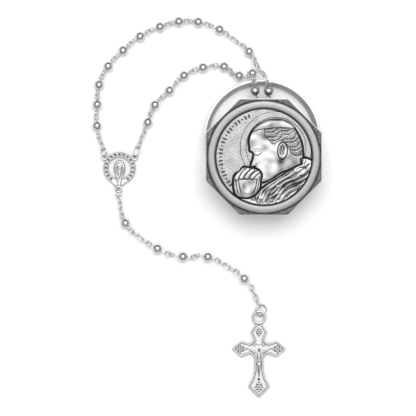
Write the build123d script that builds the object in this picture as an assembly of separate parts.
from build123d import *
from dataclasses import dataclass
from math import cos, pi, radians, sin, sqrt
import os

# A rosary box lying open on a table, with its rosary half out of it.
# The box is a round pressed dish and an octagonal lid: a pressed cap with a friction collar,
# and a cast medallion plate on it. The lid lies on the dish's rim, pushed back from it.
# The rosary is metal: drilled balls on wire pins whose bent eyes link them, oval chain links
# beside the single beads, an openwork centrepiece, and a crucifix on a cast bail.
# Frame: millimetres, origin at the middle of the dish's flat bottom, +Z up, table at z = 0.

os.makedirs("parts", exist_ok=True)

# ---- dish -----------------------------------------------------------------------------------
DISH_RADIUS = 25.5  # to the outside of the rolled rim
DISH_HEIGHT = 10.0
DISH_SHEET = 0.8
DISH_CORNER = 2.6  # outside radius between floor and wall
RIM_ROLL = 0.7  # radius of the round rolled edge
DISH_INSIDE = DISH_RADIUS - RIM_ROLL - DISH_SHEET / 2  # radius of the wall's inner face

# ---- lid ------------------------------------------------------------------------------------
LID_ACROSS = 50.0  # octagon, across the flats
LID_SHEET = 0.8
LID_SHIFT = (0.55, -8.2)  # where the open lid lies, from the dish's axis
COLLAR_DEPTH = 3.5
COLLAR_SHEET = 0.7
COLLAR_FIT = 0.25  # collar to rim, all round, when the box is shut
LID_SEAT = 0.1  # collar to rim, as the open lid lies

PLAQUE_MARGIN = 0.3  # cap showing round the plaque
PLAQUE_DROP = 0.22  # the plaque is set a little low on the cap
PLAQUE_BASE = 1.5
PLAQUE_RING_INSET = 0.4  # from the plaque's flats
PLAQUE_RING_WIDTH = 3.5
PLAQUE_RING_OUTER = LID_ACROSS / 2 - PLAQUE_MARGIN - PLAQUE_RING_INSET
PLAQUE_RING_INNER = PLAQUE_RING_OUTER - PLAQUE_RING_WIDTH
PLAQUE_RING_RISE = 1.1
FIELD_MARGIN = 0.22  # between the relief and the ring
RELIEF_SOFTENING = 0.45  # radius of a relief's edge, as a share of its height
HEAD_RISE = 0.70  # this and the other rises are above the field
CAP_RISE = 0.77
HANDS_RISE = 0.84
CAPE_RISE = 0.56
HALO_PLACE = (5.2, 4.1)
HALO_RISE = 0.3
HALO_OUTER = 15.2
HALO_INNER = 13.0
HEAD_PLACE = (5.2, 2.2)
HEAD_RADII = (10.0, 12.6)
HEAD_LEAN = 12.0
CAP_PLACE = (5.2, 12.4)
CAP_RADII = (8.0, 4.8)
HANDS_PLACE = (-6.9, -11.6)
HANDS_RADII = (5.6, 6.2)
CAPE_TOP = -10.5  # its upper edge, before it leans
CAPE_LEAN = 32.0

# ---- rosary: beads and wire -----------------------------------------------------------------
BEAD_RADIUS = 2.05
BEAD_BORE = 0.40  # radius
WIRE = 0.26  # wire radius
EYE = 1.20  # centreline radius of the eye at each end of a bead's pin
EYE_GAP = 0.06  # least space between a bead and its wire's eye
LINK_HALF_LENGTH = 1.72
LINK_HALF_WIDTH = 0.94
LINK_PLAY = 0.30  # slack of one loop in the next, along the chain
DECADES = 5
DECADE = 10  # beads in each
CHAIN_LINKS = 3  # at each side of a single bead
NECK_ROUNDS = 4  # rounds of lengthening necks until kinked eyes clear their beads
EYE_ROLL = 33.0  # of the first loop in each gap, about the strand; each next one is square to it

TABLE_AXIS = BEAD_RADIUS  # height of the wire through a bead on the table

# Route of the rosary on the table, from the centrepiece's left ear: the first decade and the
# first Our Father bead. It then climbs the rim.
OUTER_STRAND = [
    (-71.9, 5.5), (-71.8, 14.8), (-71.0, 23.4), (-67.0, 31.5), (-60.5, 38.4),
    (-53.1, 44.5), (-44.4, 48.7), (-36.2, 51.0), (-27.7, 50.8), (-18.4, 47.5),
    (-5.5, 37.9),
]
# The last decade's beads on the table, from the centrepiece's right ear.
INNER_STRAND = [
    (-49.7, 7.0), (-46.6, 14.6), (-40.2, 20.9), (-33.9, 27.4), (-25.6, 30.9),
    (-16.4, 31.3), (-9.9, 27.3),
]
# Where the strands cross the rim, each place is X, distance outside the rim, and height above it.
OVER_RIM_LINKS = 6  # links between the first Our Father bead and the second decade
OVER_RIM_VIA = [(-1.2, 3.8, -2.8), (1.3, 1.2, 1.0)]
SECOND_FIRST = (2.8, -5.2, -0.4)  # first bead of the second decade
SECOND_FIRST_AXIS = (-0.02, -0.88, -0.47)
FIFTH_INSIDE = (-3.1, -5.1, 0.4)  # ninth bead of the last decade, counted from the ear
FIFTH_INSIDE_AXIS = (-0.1, 0.85, 0.52)
FIFTH_OUTSIDE = (-4.1, 2.5, -2.4)  # the eighth, which hangs outside
FIFTH_OUTSIDE_AXIS = (-0.04, 0.40, -0.92)
FIFTH_FOOT = (-4.3, 3.9, -7.1)  # where its lower eye takes the strand on the table

# The rest of the loop lies in the dish as a coil, in two layers, clear of the middle.
COIL_PLACE = (0.2, -3.0)
COIL_WALL_GAP = 3.75  # outer turn to the dish's wall, before the coil is set off its middle
COIL_TURN_GAP = 0.2  # outer turn to inner turn
COIL_FLOOR_GAP = 0.05
COIL_LAYER_GAP = 0.15
COIL_PITCH = 8.3  # from one bead to the next, where their eyes link
COIL_OUTER = DISH_INSIDE - COIL_WALL_GAP - BEAD_RADIUS
COIL_INNER = COIL_OUTER - 2 * BEAD_RADIUS - COIL_TURN_GAP
COIL_ENTRY = COIL_OUTER - 2.3
COIL_LOWER = DISH_SHEET + COIL_FLOOR_GAP + BEAD_RADIUS
COIL_UPPER = COIL_LOWER + 2 * BEAD_RADIUS + COIL_LAYER_GAP
# Each row is degrees clockwise from +Y, radius and height.
COIL_ROUTE = [
    (14, COIL_ENTRY, COIL_UPPER), (40, COIL_OUTER, COIL_UPPER), (300, COIL_OUTER, COIL_UPPER),
    (345, COIL_OUTER, COIL_LOWER), (640, COIL_OUTER, COIL_LOWER),
    (668, COIL_INNER, COIL_LOWER), (970, COIL_INNER, COIL_LOWER),
    (1010, COIL_INNER, COIL_UPPER), (1045, COIL_INNER, COIL_UPPER),
    (1066, COIL_ENTRY, COIL_UPPER),
]
ROUTE_STEP = 4.0  # degrees, between the points of the route
ROUTE_END = 0.001  # what is asked for at its very end is taken this far before it
BETWEEN = (0.3, 0.4, 0.5, 0.6, 0.7)  # shares of a gap where hidden chain is held to the route

# ---- centrepiece ----------------------------------------------------------------------------
CENTRE_PLACE = (-62.1, -12.9)
CENTRE_RADIUS = 7.0
CENTRE_OPENING = 4.9
CENTRE_THICK = 1.5
CENTRE_HOLES = 17
CENTRE_HOLE = 0.42
EAR_RING = 1.15
EAR_WIRE = 0.36
EAR_HEIGHT = 1.6
EAR_OUT = 1.18  # middle of an upper ear, outside the ring's edge
LOWER_EAR_OUT = 2.11
LEFT_EAR_TURN = 143.0  # degrees anticlockwise from +X
RIGHT_EAR_TURN = 36.6
LOWER_EAR_TURN = -92.8
HOLES_START = -52.0  # degrees; the holes run round from here to the same on the left
FIGURE_HALF_WIDTH = 2.5
FIGURE_HALF_HEIGHT = 3.6
FIGURE_DROP = 0.1
ROBE_FOOT = 1.1

EAR_JUMP = 1.75  # centreline half width of the jump ring in each ear
RIGHT_JUMP_LONG = 2.35  # the right one is pulled oval
JUMP_WIRE = 0.28
EAR_JUMP_ROLL = 47.0
LEFT_JUMP_TO = (-0.30, 2.05)
RIGHT_JUMP_TO = (0.90, 2.45)
LOWER_JUMP_TO = (0.12, -2.05)
LEFT_EAR_LINKS = 2
RIGHT_EAR_LINKS = 3

# ---- stem and crucifix ----------------------------------------------------------------------
STEM_BEADS = [(-59.5, -37.0), (-45.5, -48.1), (-34.4, -51.6), (-23.5, -51.7), (-7.6, -61.2)]
STEM_LINKS = 3

BAIL_PLACE = (-1.2, -78.05)
BAIL_RING = 2.58
BAIL_WIRE = 0.46
BAIL_HEIGHT = 1.45
CROSS_JUMP = 2.45
CROSS_JUMP_WIRE = 0.32
CROSS_JUMP_TO = (0.95, 3.0)
CROSS_JUMP_ROLL = -25.0

CROSS_THICK = 1.3
CROSS_SUNK = 0.25  # depth of the face inside its border
CROSS_BORDER = 0.5
BAIL_NECK = 2.4  # width of the neck under the bail
# Right half of the outline: half width, and distance below the bail's centre.
CROSS_OUTLINE = [
    (1.31, 3.3), (3.5, 6.5), (1.88, 10.2), (3.94, 11.8), (7.8, 10.7), (11.65, 13.9),
    (7.7, 17.3), (3.63, 15.75), (1.84, 17.7), (1.84, 23.2), (2.6, 26.7), (4.6, 30.3),
    (2.5, 32.5), (0.0, 35.0),
]
CORPUS_SIT = 0.02  # corpus above the cross's face
CORPUS_ARM_SPAN = 10.6
CORPUS_HEAD = 0.75  # this and the next are radii
CORPUS_CHEST = 0.95
CORPUS_WAIST = 0.62
CORPUS_CLOTH = 0.95
CORPUS_CLOTH_FOOT = 0.8
CORPUS_ANKLE = 0.42
CORPUS_ARM = 0.36
CORPUS_HAND = 0.45
CORPUS_HEAD_RISE = 0.38  # middle of the head above its back
CORPUS_ARM_ROOT = 0.38  # from the middle of the chest
CORPUS_CLOTH_HALF = 0.9
HAND_DROP = 13.8  # this and the next drops are below the bail's centre
HEAD_DROP = 14.3
COLLAR_DROP = 14.8
SHOULDER_DROP = 15.5
HIP_DROP = 20.3
ANKLE_DROP = 25.8
RIVET_DROP = 27.1
RIVET_RADIUS = 0.35
TRIM = 60.0  # side of the block that cuts the corpus flat behind


# ---- where everything lies ------------------------------------------------------------------
UP = Vector(0, 0, 1)
STANDING = (Align.CENTER, Align.CENTER, Align.MIN)  # a solid that stands on its own foot
ROUND = 0.01  # a loop whose half sizes are this close is a plain ring


def on_centrepiece(turn, out):
    """A place outside the centrepiece's edge, in this direction from its middle."""
    reach = CENTRE_RADIUS + out
    x, y = CENTRE_PLACE
    return x + reach * cos(radians(turn)), y + reach * sin(radians(turn))


EAR_LEFT = on_centrepiece(LEFT_EAR_TURN, EAR_OUT)
EAR_RIGHT = on_centrepiece(RIGHT_EAR_TURN, EAR_OUT)
EAR_LOWER = on_centrepiece(LOWER_EAR_TURN, LOWER_EAR_OUT)


def towards(here, there):
    return (there - here).normalized()


def rolled(along, roll):
    """A direction square to a strand, rolled about it by this many degrees from level."""
    level = along.cross(UP).normalized()
    return level * cos(radians(roll)) + level.cross(along) * sin(radians(roll))


@dataclass
class Loop:
    """A closed wire loop: its middle, long and cross directions, and centreline half sizes."""

    centre: Vector
    along: Vector
    across: Vector
    half_length: float = LINK_HALF_LENGTH
    half_width: float = LINK_HALF_WIDTH
    wire: float = WIRE

    def normal(self):
        return self.along.cross(self.across).normalized()

    def plane(self):
        return Plane(origin=self.centre, x_dir=self.along, z_dir=self.normal())

    def next_across(self, along):
        """The cross direction of the next loop in a chain, which is turned square to this one."""
        normal = self.normal()
        return (normal - along * normal.dot(along)).normalized()


@dataclass
class Pin:
    """A bead's wire: it runs straight through the bead, and ends in an eye at each side.

    A neck is the distance from the bead's middle to where the eye begins, and a way is the
    direction of the strand there, which the eye lines up with.
    """

    centre: Vector
    along: Vector
    neck_before: float = 0.0
    neck_after: float = 0.0
    way_before: Vector = None
    way_after: Vector = None
    across_before: Vector = None
    across_after: Vector = None

    def foot_before(self):
        return self.centre - self.along * self.neck_before

    def foot_after(self):
        return self.centre + self.along * self.neck_after

    def eye_before(self):
        middle = self.foot_before() - self.way_before * EYE
        return Loop(middle, self.way_before, self.across_before, EYE, EYE)

    def eye_after(self):
        middle = self.foot_after() + self.way_after * EYE
        return Loop(middle, self.way_after, self.across_after, EYE, EYE)


def pitch(first_half, first_wire, second_half, second_wire):
    """Distance between the middles of two linked loops, with their play."""
    return first_half + second_half - first_wire - second_wire - LINK_PLAY


EYE_TO_EYE = pitch(EYE, WIRE, EYE, WIRE)
EYE_TO_LINK = pitch(EYE, WIRE, LINK_HALF_LENGTH, WIRE)
LINK_TO_LINK = pitch(LINK_HALF_LENGTH, WIRE, LINK_HALF_LENGTH, WIRE)
EAR_PITCH = pitch(EAR_JUMP, JUMP_WIRE, LINK_HALF_LENGTH, WIRE)
RIGHT_EAR_PITCH = pitch(RIGHT_JUMP_LONG, JUMP_WIRE, LINK_HALF_LENGTH, WIRE)
CROSS_PITCH = pitch(CROSS_JUMP, CROSS_JUMP_WIRE, LINK_HALF_LENGTH, WIRE)
LEAST_NECK = BEAD_RADIUS + WIRE + EYE_GAP


def chain_run(links):
    """Eye to eye, with this many links between."""
    return EYE_TO_EYE if links == 0 else 2 * EYE_TO_LINK + (links - 1) * LINK_TO_LINK


def neck_for(first, second, run):
    """The neck that sets the feet of two facing eyes this far apart."""
    gap = second.centre - first.centre
    both = first.along + second.along
    a = both.dot(both)
    b = gap.dot(both)
    c = gap.dot(gap) - run * run
    return max(LEAST_NECK, (b - sqrt(max(b * b - a * c, 0.0))) / a)


def clear_neck(along, way):
    """The least neck for an eye that lines up with this way to stay off its own bead."""
    reach = LEAST_NECK + EYE
    bend = min(1.0, along.dot(way))
    return sqrt(reach * reach - EYE * EYE * (1 - bend * bend)) - EYE * bend


def along_route(points, distance):
    """The point this far along a polyline."""
    for here, there in zip(points, points[1:]):
        length = (there - here).length
        if distance <= length or there is points[-1]:
            return here + (there - here) * (distance / length)
        distance -= length


def route_length(points):
    return sum((there - here).length for here, there in zip(points, points[1:]))


def chain(start, end_point, count, via=(), start_pitch=EYE_TO_LINK, start_point=None):
    """Links from a loop to the middle of another, spread evenly along the way."""
    start_point = start_point or start.centre
    route = [start_point, *via, end_point]
    stretch = route_length(route) / (start_pitch + EYE_TO_LINK + (count - 1) * LINK_TO_LINK)
    middles = [
        along_route(route, (start_pitch + k * LINK_TO_LINK) * stretch) for k in range(count)
    ]
    stops = [start_point, *middles, end_point]
    links = []
    last = start
    for k, middle in enumerate(middles):
        along = towards(stops[k], stops[k + 2])
        last = Loop(middle, along, last.next_across(along))
        links.append(last)
    return links


def on_table(x, y):
    return Vector(x, y, TABLE_AXIS)


def bisected(points, start, end):
    """Directions of the beads' wires along a strand that goes on to start and end."""
    stops = [start, *points, end]
    return [
        (towards(stops[k], stops[k + 1]) + towards(stops[k + 1], stops[k + 2])).normalized()
        for k in range(len(points))
    ]


def coil_points():
    """The coil's route as a fine polyline."""
    points = []
    for (turn, radius, height), (turn_2, radius_2, height_2) in zip(COIL_ROUTE, COIL_ROUTE[1:]):
        steps = max(2, round((turn_2 - turn) / ROUTE_STEP))
        for k in range(steps):
            share = k / steps
            angle = radians(turn + (turn_2 - turn) * share)
            eased = (1 - cos(pi * share)) / 2
            r = radius + (radius_2 - radius) * eased
            z = height + (height_2 - height) * eased
            points.append(Vector(COIL_PLACE[0] + r * sin(angle), COIL_PLACE[1] + r * cos(angle), z))
    turn, radius, height = COIL_ROUTE[-1]
    end = Vector(radius * sin(radians(turn)), radius * cos(radians(turn)), height)
    return points + [end + Vector(*COIL_PLACE, 0)]


# Links after each hidden bead: the second decade's other nine, an Our Father bead, the third
# decade, another, the fourth, another, and the last decade's tenth bead.
BESIDE_SINGLE = [CHAIN_LINKS, CHAIN_LINKS]
WHOLE_DECADE = [0] * (DECADE - 1)
HIDDEN_LINKS = WHOLE_DECADE[1:] + 2 * (BESIDE_SINGLE + WHOLE_DECADE) + BESIDE_SINGLE


def coil_pins():
    """The route, the hidden beads' pins, and how far along it each one lies."""
    route = coil_points()
    spans = [COIL_PITCH + chain_run(links) - EYE_TO_EYE for links in HIDDEN_LINKS]
    length = route_length(route)
    fit = length / sum(spans)
    pins = []
    stops = []
    distance = 0.0
    for span in [0.0] + spans:
        distance += span * fit
        back = along_route(route, max(distance - LEAST_NECK, 0.0))
        ahead = along_route(route, min(distance + LEAST_NECK, length - ROUTE_END))
        here = along_route(route, min(distance, length - ROUTE_END))
        pins.append(Pin(here, towards(back, ahead)))
        stops.append(distance)
    return route, pins, stops


def close_gap(first, second, links=0, via=(), neck=None):
    """Set the facing eyes of two pins, and return the links between them."""
    neck = neck or neck_for(first, second, chain_run(links) + 2 * EYE)
    first.neck_after = neck
    second.neck_before = neck
    for _ in range(NECK_ROUNDS):
        stops = [first.foot_after(), *via, second.foot_before()]
        first.way_after = towards(stops[0], stops[1])
        second.way_before = towards(stops[-2], stops[-1])
        first.neck_after = max(neck, clear_neck(first.along, first.way_after))
        second.neck_before = max(neck, clear_neck(second.along, second.way_before))
    first.across_after = rolled(first.way_after, EYE_ROLL)
    last = first.eye_after()
    links_between = []
    if links:
        links_between = chain(last, second.foot_before() - second.way_before * EYE, links, via)
        last = links_between[-1]
    second.across_before = last.next_across(second.way_before)
    return links_between


def past_rim(across, beyond, above):
    return Vector(across, DISH_RADIUS + beyond, DISH_HEIGHT + above)


def table_pins(places, start, end):
    points = [on_table(*place) for place in places]
    return [Pin(p, along) for p, along in zip(points, bisected(points, start, end))]


def ring_loop(ear, offset, half_length, half_width, wire, roll, height):
    """A jump ring hung in a flat ear: its middle is this far off the ear's."""
    middle = Vector(ear[0] + offset[0], ear[1] + offset[1], height)
    along = Vector(*offset, 0).normalized()
    return Loop(middle, along, rolled(along, roll), half_length, half_width, wire)


def ear_jump(ear, offset, half_length=EAR_JUMP):
    return ring_loop(
        ear, offset, half_length, EAR_JUMP, JUMP_WIRE, EAR_JUMP_ROLL, EAR_HEIGHT
    )


left_jump = ear_jump(EAR_LEFT, LEFT_JUMP_TO)
right_jump = ear_jump(EAR_RIGHT, RIGHT_JUMP_TO, RIGHT_JUMP_LONG)
lower_jump = ear_jump(EAR_LOWER, LOWER_JUMP_TO)
cross_jump = ring_loop(
    BAIL_PLACE, CROSS_JUMP_TO, CROSS_JUMP, CROSS_JUMP, CROSS_JUMP_WIRE, CROSS_JUMP_ROLL, BAIL_HEIGHT
)

# The loop of five decades, in order from the left ear.
second_first = Pin(past_rim(*SECOND_FIRST), Vector(*SECOND_FIRST_AXIS).normalized())
over_rim_via = [past_rim(*place) for place in OVER_RIM_VIA]
outer = table_pins(OUTER_STRAND, left_jump.centre, on_table(over_rim_via[0].X, over_rim_via[0].Y))
fifth_inside = Pin(past_rim(*FIFTH_INSIDE), Vector(*FIFTH_INSIDE_AXIS).normalized())
fifth_outside = Pin(past_rim(*FIFTH_OUTSIDE), Vector(*FIFTH_OUTSIDE_AXIS).normalized())
inner = table_pins(INNER_STRAND, right_jump.centre, past_rim(*FIFTH_FOOT))
for pin in inner:
    pin.along = pin.along * -1
inner = [fifth_outside] + inner[::-1]

route, hidden, stops = coil_pins()
entry = towards(second_first.centre, hidden[0].centre)
hidden[0].along = (hidden[0].along + entry).normalized()
leaving = towards(hidden[-1].centre, fifth_inside.centre)
hidden[-1].along = (hidden[-1].along + leaving).normalized()
loop_pins = outer + [second_first] + hidden + [fifth_inside] + inner


def ring_chain(ring, pin, sign, links, ring_pitch):
    """Links from a ring to the pin's eye on that side (before or after), which it also sets."""
    run = ring_pitch + EYE_TO_LINK + (links - 1) * LINK_TO_LINK + EYE
    direction = pin.along * sign
    gap = ring.centre - pin.centre
    ahead = gap.dot(direction)
    neck = max(LEAST_NECK, ahead - sqrt(max(ahead * ahead - gap.dot(gap) + run * run, 0.0)))
    foot = pin.centre + direction * neck
    way = towards(ring.centre, foot)
    pulled = (way - ring.normal() * way.dot(ring.normal())).normalized()
    start_point = ring.centre + (pulled - way) * ring.half_length
    links_between = chain(ring, foot - way * EYE, links, (), ring_pitch, start_point)
    across = links_between[-1].next_across(way)
    if sign < 0:
        pin.neck_before, pin.way_before, pin.across_before = neck, way, across
    else:
        pin.neck_after, pin.way_after, pin.across_after = neck, way * -1, across
    return links_between


links_left_ear = ring_chain(left_jump, outer[0], -1, LEFT_EAR_LINKS, EAR_PITCH)
links_right_ear = ring_chain(right_jump, inner[-1], 1, RIGHT_EAR_LINKS, RIGHT_EAR_PITCH)

# Between neighbours on the loop, in order: close the eyes, or hang chain between them.
for first, second in zip(outer, outer[1:-1]):
    close_gap(first, second)
links_first_our_father = close_gap(outer[-2], outer[-1], CHAIN_LINKS)
links_over_rim = close_gap(outer[-1], second_first, OVER_RIM_LINKS, over_rim_via, LEAST_NECK)

close_gap(second_first, hidden[0])
links_hidden = []
for k, links in enumerate(HIDDEN_LINKS):
    if links == 0:
        close_gap(hidden[k], hidden[k + 1])
        continue
    between = [
        along_route(route, stops[k] + (stops[k + 1] - stops[k]) * share)
        for share in BETWEEN
    ]
    neck = (stops[k + 1] - stops[k] - chain_run(links)) / 2 - EYE
    links_hidden.append(close_gap(hidden[k], hidden[k + 1], links, between, max(LEAST_NECK, neck)))
close_gap(hidden[-1], fifth_inside)
close_gap(fifth_inside, inner[0])
for first, second in zip(inner, inner[1:]):
    close_gap(first, second)

# The stem, from the centrepiece's lower ear to the crucifix.
stem = table_pins(STEM_BEADS, lower_jump.centre, cross_jump.centre)
stem_links_1 = ring_chain(lower_jump, stem[0], -1, STEM_LINKS, EAR_PITCH)
stem_links_2 = close_gap(stem[0], stem[1], STEM_LINKS)
close_gap(stem[1], stem[2])
close_gap(stem[2], stem[3])
stem_links_3 = close_gap(stem[3], stem[4], STEM_LINKS)
stem_links_4 = ring_chain(cross_jump, stem[4], 1, STEM_LINKS, CROSS_PITCH)


# ---- solids ---------------------------------------------------------------------------------
def write(name, solids):
    """One STEP file for one node, of one solid or several."""
    solids = [solid for shape in solids for solid in shape.solids()]
    shape = solids[0] if len(solids) == 1 else Compound(children=solids)
    shape.label = name
    export_step(shape, f"parts/{name}.step")


def octagon(across):
    sides = 8
    return RegularPolygon(across / 2, sides, major_radius=False, rotation=180 / sides)


def oval(place, radii, lean=0.0):
    return Location((*place, 0), (0, 0, lean)) * Ellipse(*radii)


def raised(outline, foot, height):
    """A low relief form with a softened edge."""
    body = Pos(0, 0, foot) * extrude(outline, height)
    return fillet(body.faces().sort_by(Axis.Z)[-1].edges(), height * RELIEF_SOFTENING)


def rod(start, end, radius):
    """A round wire from one point to another."""
    plane = Plane(origin=start, z_dir=end - start)
    return plane * Cylinder(radius, (end - start).length, align=STANDING)


def horn(start, end, radius, end_radius):
    """A round bar that tapers from one point to another."""
    plane = Plane(origin=start, z_dir=end - start)
    return plane * Cone(radius, end_radius, (end - start).length, align=STANDING)


def dish():
    wall_middle = DISH_RADIUS - RIM_ROLL
    wall_height = DISH_HEIGHT - RIM_ROLL
    outside = Cylinder(wall_middle + DISH_SHEET / 2, wall_height, align=STANDING)
    outside = fillet(outside.edges().sort_by(Axis.Z)[0], DISH_CORNER)
    inside = Pos(0, 0, DISH_SHEET) * Cylinder(DISH_INSIDE, DISH_HEIGHT, align=STANDING)
    inside = fillet(inside.edges().sort_by(Axis.Z)[0], DISH_CORNER - DISH_SHEET)
    return outside - inside + Pos(0, 0, wall_height) * Torus(wall_middle, RIM_ROLL)


LID_FLOOR = DISH_HEIGHT + LID_SEAT + COLLAR_DEPTH  # underside of the cap's sheet
PLAQUE_FLOOR = LID_FLOOR + LID_SHEET


def lid_cap():
    collar_radius = DISH_RADIUS - 2 * RIM_ROLL - COLLAR_FIT
    collar = Cylinder(collar_radius, COLLAR_DEPTH, align=STANDING)
    collar -= Cylinder(collar_radius - COLLAR_SHEET, COLLAR_DEPTH, align=STANDING)
    plate = Pos(0, 0, COLLAR_DEPTH) * extrude(octagon(LID_ACROSS), LID_SHEET)
    return Pos(*LID_SHIFT, LID_FLOOR - COLLAR_DEPTH) * (plate + collar)


def lid_plaque():
    plate = extrude(octagon(LID_ACROSS - 2 * PLAQUE_MARGIN), PLAQUE_BASE)
    rim = Circle(PLAQUE_RING_OUTER) - Circle(PLAQUE_RING_INNER)
    plate += raised(rim, PLAQUE_BASE, PLAQUE_RING_RISE)
    field = Circle(PLAQUE_RING_INNER - FIELD_MARGIN)
    halo = oval(HALO_PLACE, (HALO_OUTER, HALO_OUTER)) - oval(HALO_PLACE, (HALO_INNER, HALO_INNER))
    plate += Pos(0, 0, PLAQUE_BASE) * extrude(halo & field, HALO_RISE)
    below = Pos(0, CAPE_TOP - PLAQUE_RING_INNER) * Rectangle(
        2 * PLAQUE_RING_INNER, 2 * PLAQUE_RING_INNER
    )
    cape = field & (Location((0, 0, 0), (0, 0, CAPE_LEAN)) * below)
    plate += raised(oval(HEAD_PLACE, HEAD_RADII, HEAD_LEAN) & field, PLAQUE_BASE, HEAD_RISE)
    plate += Pos(0, 0, PLAQUE_BASE) * extrude(cape, CAPE_RISE)
    plate += raised(oval(HANDS_PLACE, HANDS_RADII) & field, PLAQUE_BASE, HANDS_RISE)
    plate += raised(oval(CAP_PLACE, CAP_RADII, -HEAD_LEAN) & field, PLAQUE_BASE, CAP_RISE)
    return Pos(LID_SHIFT[0], LID_SHIFT[1] - PLAQUE_DROP, PLAQUE_FLOOR) * plate


def along_x(centre, along):
    """A frame at a bead, with X along its wire."""
    return Plane(origin=centre, x_dir=along, z_dir=rolled(along, 90))


BEAD = Sphere(BEAD_RADIUS) - Cylinder(BEAD_BORE, 3 * BEAD_RADIUS, rotation=(0, 90, 0))


def bead(pin):
    return along_x(pin.centre, pin.along) * BEAD


def eye_pin(pin):
    wire = rod(pin.foot_before(), pin.foot_after(), WIRE)
    return wire + pin.eye_before().plane() * Torus(EYE, WIRE) + pin.eye_after().plane() * Torus(EYE, WIRE)


def loop_solid(loop):
    """A closed wire loop: two half rings, joined by straight sides where it is oval."""
    straight = loop.half_length - loop.half_width
    if straight < ROUND:
        return loop.plane() * Torus(loop.half_width, loop.wire)
    path = SlotCenterToCenter(2 * straight, 2 * loop.half_width).wire()
    section = Plane(origin=path @ 0, z_dir=path % 0) * Circle(loop.wire)
    return loop.plane() * sweep(section, path)


def centrepiece():
    """An openwork ring with a veiled figure in it, drawn down to the lower ear."""
    place = Vector(*CENTRE_PLACE)
    foot = Vector(*EAR_LOWER) - place
    neck = Polyline(
        (-CENTRE_OPENING, -CENTRE_OPENING), (foot.X - EAR_RING, foot.Y + EAR_RING),
        (foot.X + EAR_RING, foot.Y + EAR_RING), (CENTRE_OPENING, -CENTRE_OPENING), close=True,
    )
    figure = Pos(0, -FIGURE_DROP) * Ellipse(FIGURE_HALF_WIDTH, FIGURE_HALF_HEIGHT)
    robe = Polyline(
        (-FIGURE_HALF_WIDTH, -FIGURE_DROP), (-ROBE_FOOT, -CENTRE_RADIUS), (ROBE_FOOT, -CENTRE_RADIUS),
        (FIGURE_HALF_WIDTH, -FIGURE_DROP), close=True,
    )
    outline = Circle(CENTRE_RADIUS) + make_face(neck) - Circle(CENTRE_OPENING)
    outline += figure + make_face(robe)
    middle = (CENTRE_RADIUS + CENTRE_OPENING) / 2
    for k in range(CENTRE_HOLES):
        angle = HOLES_START + (360 - 2 * (HOLES_START + 90)) * k / (CENTRE_HOLES - 1)
        outline -= Pos(middle * cos(radians(angle)), middle * sin(radians(angle))) * Circle(CENTRE_HOLE)
    body = Pos(*CENTRE_PLACE) * extrude(outline, CENTRE_THICK)
    for ear in (EAR_LEFT, EAR_RIGHT, EAR_LOWER):
        body += Pos(*ear, EAR_HEIGHT) * Torus(EAR_RING, EAR_WIRE)
    return body


def crucifix_outline():
    right = [(half, -drop) for half, drop in CROSS_OUTLINE]
    left = [(-half, -drop) for half, drop in CROSS_OUTLINE[-2::-1]]
    return make_face(Polyline(*right, *left, close=True))


def crucifix_cross():
    outline = crucifix_outline()
    body = extrude(outline, CROSS_THICK)
    sunk = Pos(0, 0, CROSS_THICK - CROSS_SUNK) * extrude(offset(outline, -CROSS_BORDER), CROSS_SUNK)
    body -= sunk
    body += Pos(0, 0, BAIL_HEIGHT) * Torus(BAIL_RING, BAIL_WIRE)
    neck_top = BAIL_RING
    neck_foot = CROSS_OUTLINE[0][1] + CROSS_BORDER
    body += Pos(0, -(neck_top + neck_foot) / 2, 0) * Box(
        BAIL_NECK, neck_foot - neck_top, CROSS_THICK, align=STANDING
    )
    body -= Pos(0, -RIVET_DROP, 0) * Cylinder(RIVET_RADIUS, 4 * CROSS_THICK)
    return Pos(*BAIL_PLACE) * body


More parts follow.
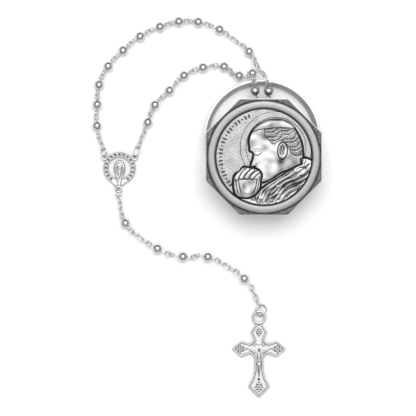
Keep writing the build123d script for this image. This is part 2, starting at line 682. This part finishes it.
def corpus():
    """A small figure in half relief, its back flat on the cross."""
    face = CROSS_THICK - CROSS_SUNK + CORPUS_SIT
    hip = Vector(0, -HIP_DROP, face)
    cloth = Vector(0, CORPUS_CLOTH_HALF, 0)
    body = Pos(0, -HEAD_DROP, face + CORPUS_HEAD_RISE) * Sphere(CORPUS_HEAD)
    body += horn(Vector(0, -COLLAR_DROP, face), hip, CORPUS_CHEST, CORPUS_WAIST)
    body += horn(hip, Vector(0, -ANKLE_DROP, face), CORPUS_WAIST, CORPUS_ANKLE)
    body += horn(hip + cloth, hip - cloth, CORPUS_CLOTH, CORPUS_CLOTH_FOOT)
    for side in (-1, 1):
        shoulder = Vector(side * CORPUS_ARM_ROOT, -SHOULDER_DROP, face)
        hand = Vector(side * CORPUS_ARM_SPAN / 2, -HAND_DROP, face)
        body += rod(shoulder, hand, CORPUS_ARM) + Pos(hand) * Sphere(CORPUS_HAND)
    body -= Pos(0, -HIP_DROP, face - TRIM) * Box(TRIM, TRIM, TRIM, align=STANDING)
    return Pos(*BAIL_PLACE) * body


write("base_dish", [dish()])
write("lid_cap", [lid_cap()])
write("lid_plaque", [lid_plaque()])

our_fathers = [pin for k, pin in enumerate(loop_pins) if k % (DECADE + 1) == DECADE]
for number in range(DECADES):
    first = number * (DECADE + 1)
    decade = loop_pins[first:first + DECADE]
    write(f"decade_{number + 1}_beads", [bead(pin) for pin in decade])
    write(f"decade_{number + 1}_pins", [eye_pin(pin) for pin in decade])
write("our_father_beads", [bead(pin) for pin in our_fathers])
write("our_father_pins", [eye_pin(pin) for pin in our_fathers])

chains = {
    "chain_left_ear": links_left_ear,
    "chain_right_ear": links_right_ear,
    "chain_first_our_father": links_first_our_father,
    "chain_over_rim": links_over_rim,
    "chain_in_dish": [link for links in links_hidden for link in links],
    "centrepiece_jump_rings": [left_jump, right_jump],
    "stem_jump_ring": [lower_jump],
    "stem_chain_1": stem_links_1,
    "stem_chain_2": stem_links_2,
    "stem_chain_3": stem_links_3,
    "stem_chain_4": stem_links_4,
    "crucifix_jump_ring": [cross_jump],
}
for name, loops in chains.items():
    write(name, [loop_solid(loop) for loop in loops])

for number, pin in enumerate(stem, 1):
    write(f"stem_bead_{number}", [bead(pin)])
    write(f"stem_pin_{number}", [eye_pin(pin)])

write("centrepiece", [centrepiece()])
write("crucifix_cross", [crucifix_cross()])
write("corpus", [corpus()])
